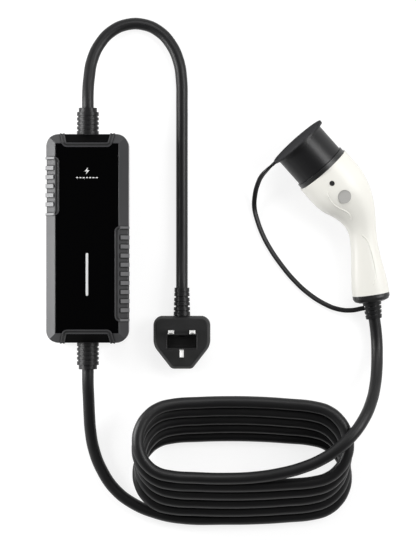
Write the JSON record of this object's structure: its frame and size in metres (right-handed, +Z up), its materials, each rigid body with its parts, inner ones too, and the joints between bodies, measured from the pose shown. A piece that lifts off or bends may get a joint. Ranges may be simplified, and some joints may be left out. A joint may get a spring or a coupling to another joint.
{
  "type": "portable ev charger",
  "caption": "Portable electric car charger: control box with ribbed grips, mains lead and plug, coiled charge cable and capped charging gun.",
  "frame": {"origin": "middle of the control box's back face, on the floor", "axes": "+Y along the box to its mains end, +X across the box towards the plug and gun, +Z up out of the front panel"},
  "size_m": [0.361, 0.5353, 0.0792],
  "materials": {
    "shell": "satin dark grey",
    "gloss_black": "polished black",
    "light": "milky white",
    "seal": "soft",
    "board": "solder mask",
    "module": "moulded",
    "ferrite": "coated",
    "steel": "plain",
    "clamp": "moulded",
    "rubber": "satin black",
    "cable": "satin black",
    "core": "insulated",
    "plug": "fine matt",
    "pin": "bright nickel",
    "sleeve": "black",
    "fuse": "glazed, with metal caps",
    "brass": "bright",
    "gun_white": "ivory white",
    "nose_black": "black",
    "badge_grey": "grey"
  },
  "bodies": {
    "charger": {"rear_shell": "shell", "front_shell": "shell", "front_panel": "gloss_black", "top_insert": "gloss_black", "bottom_insert": "gloss_black", "light_bar": "light", "shell_seal": "seal", "led_board": "board", "main_board": "board", "relays": "module", "supply_module": "module", "input_terminals": "module", "output_terminals": "module", "capacitors": "module", "leakage_sensor": "ferrite", "shell_screws": "steel", "board_screws": "steel", "clamp_screws": "steel", "gun_screws": "steel", "mains_clamp": "clamp", "charge_clamp": "clamp", "gun_clamp": "clamp", "mains_boot": "rubber", "charge_boot": "rubber", "plug_boot": "rubber", "tail_ring": "rubber", "gun_boot": "rubber", "cap_tether": "rubber", "mains_cable": "cable", "charge_cable_in": "cable", "cable_coil": "cable", "charge_cable_out": "cable", "mains_cores": "core", "charge_cores": "core", "gun_cores": "core", "plug_body": "plug", "live_pin": "pin", "neutral_pin": "pin", "earth_pin": "pin", "live_sleeve": "sleeve", "neutral_sleeve": "sleeve", "fuse_clips": "brass", "power_contacts": "brass", "signal_contacts": "brass", "gun_upper_shell": "gun_white", "gun_lower_shell": "gun_white", "nose": "nose_black", "collar_ring": "nose_black", "screw_plug": "nose_black", "badge": "badge_grey"},
    "cap": {"dust_cap": "rubber"},
    "fuse_drawer": {"fuse_carrier": "plug", "fuse": "fuse"}
  },
  "joints": [
    {"name": "cap_pull", "type": "slide", "parent": "charger", "child": "cap", "axis": [-0.6641, 0.7376, 0.1219], "range_m": [0, 0.045], "deforming": ["cap_tether"]},
    {"name": "fuse_pull", "type": "slide", "parent": "charger", "child": "fuse_drawer", "axis": [0, 0, 1], "range_m": [0, 0.016]}
  ]
}
